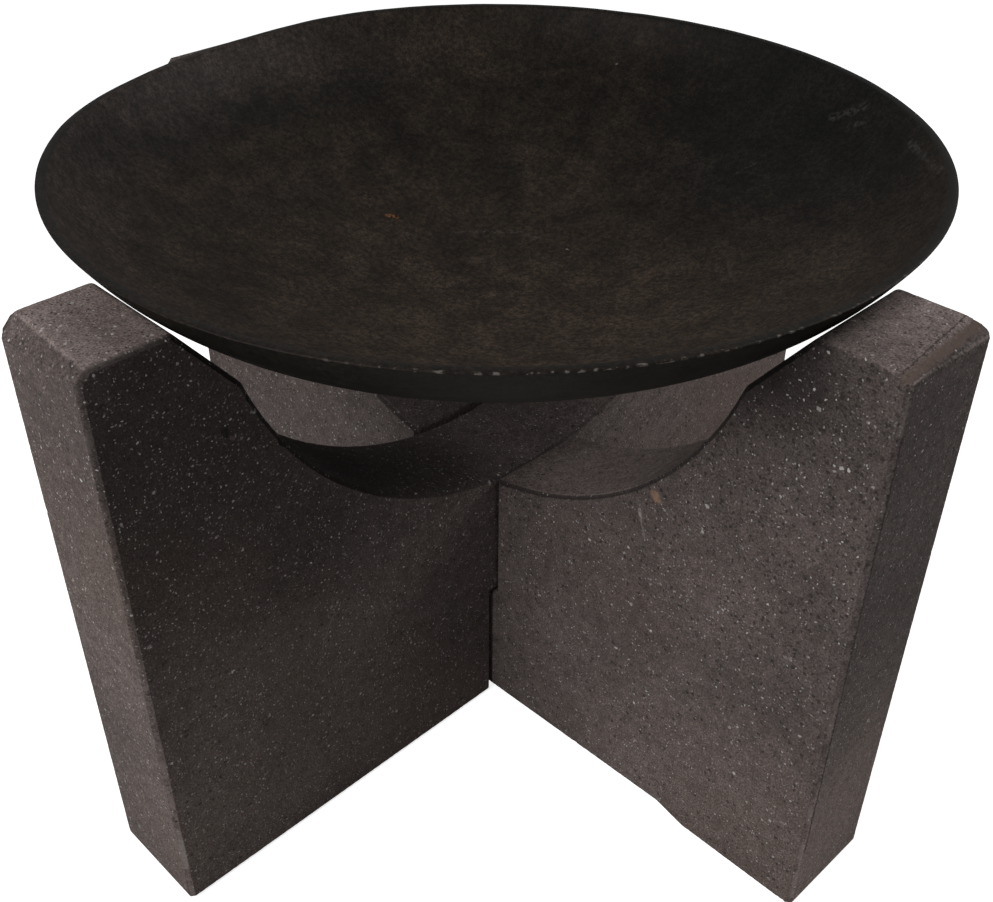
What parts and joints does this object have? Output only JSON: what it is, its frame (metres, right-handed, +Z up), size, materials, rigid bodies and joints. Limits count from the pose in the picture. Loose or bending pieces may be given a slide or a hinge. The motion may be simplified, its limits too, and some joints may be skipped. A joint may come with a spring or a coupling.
{
  "type": "fire bowl",
  "caption": "Shallow round cast-iron fire bowl resting loose on a cross stand of thick half-lapped cast-stone slabs with scooped tops.",
  "frame": {"origin": "on the ground, under the middle of the slabs' crossing", "axes": "+Z up; the lower slab lies along X and the upper slab along Y"},
  "size_m": [0.694, 0.694, 0.4661],
  "materials": {
    "iron": "satin, blotched by fire",
    "stone": "matte, finely speckled"
  },
  "bodies": {
    "lower_slab": {"lower_slab": "stone"},
    "upper_slab": {"upper_slab": "stone"},
    "fire_bowl": {"fire_bowl": "iron"}
  },
  "joints": [
    {"name": "upper_slab_lift", "type": "slide", "parent": "lower_slab", "child": "upper_slab", "axis": [0, 0, 1], "range_m": [0, 0.45]},
    {"name": "bowl_lift", "type": "slide", "parent": "upper_slab", "child": "fire_bowl", "axis": [0, 0, 1], "range_m": [0, 0.12]}
  ]
}
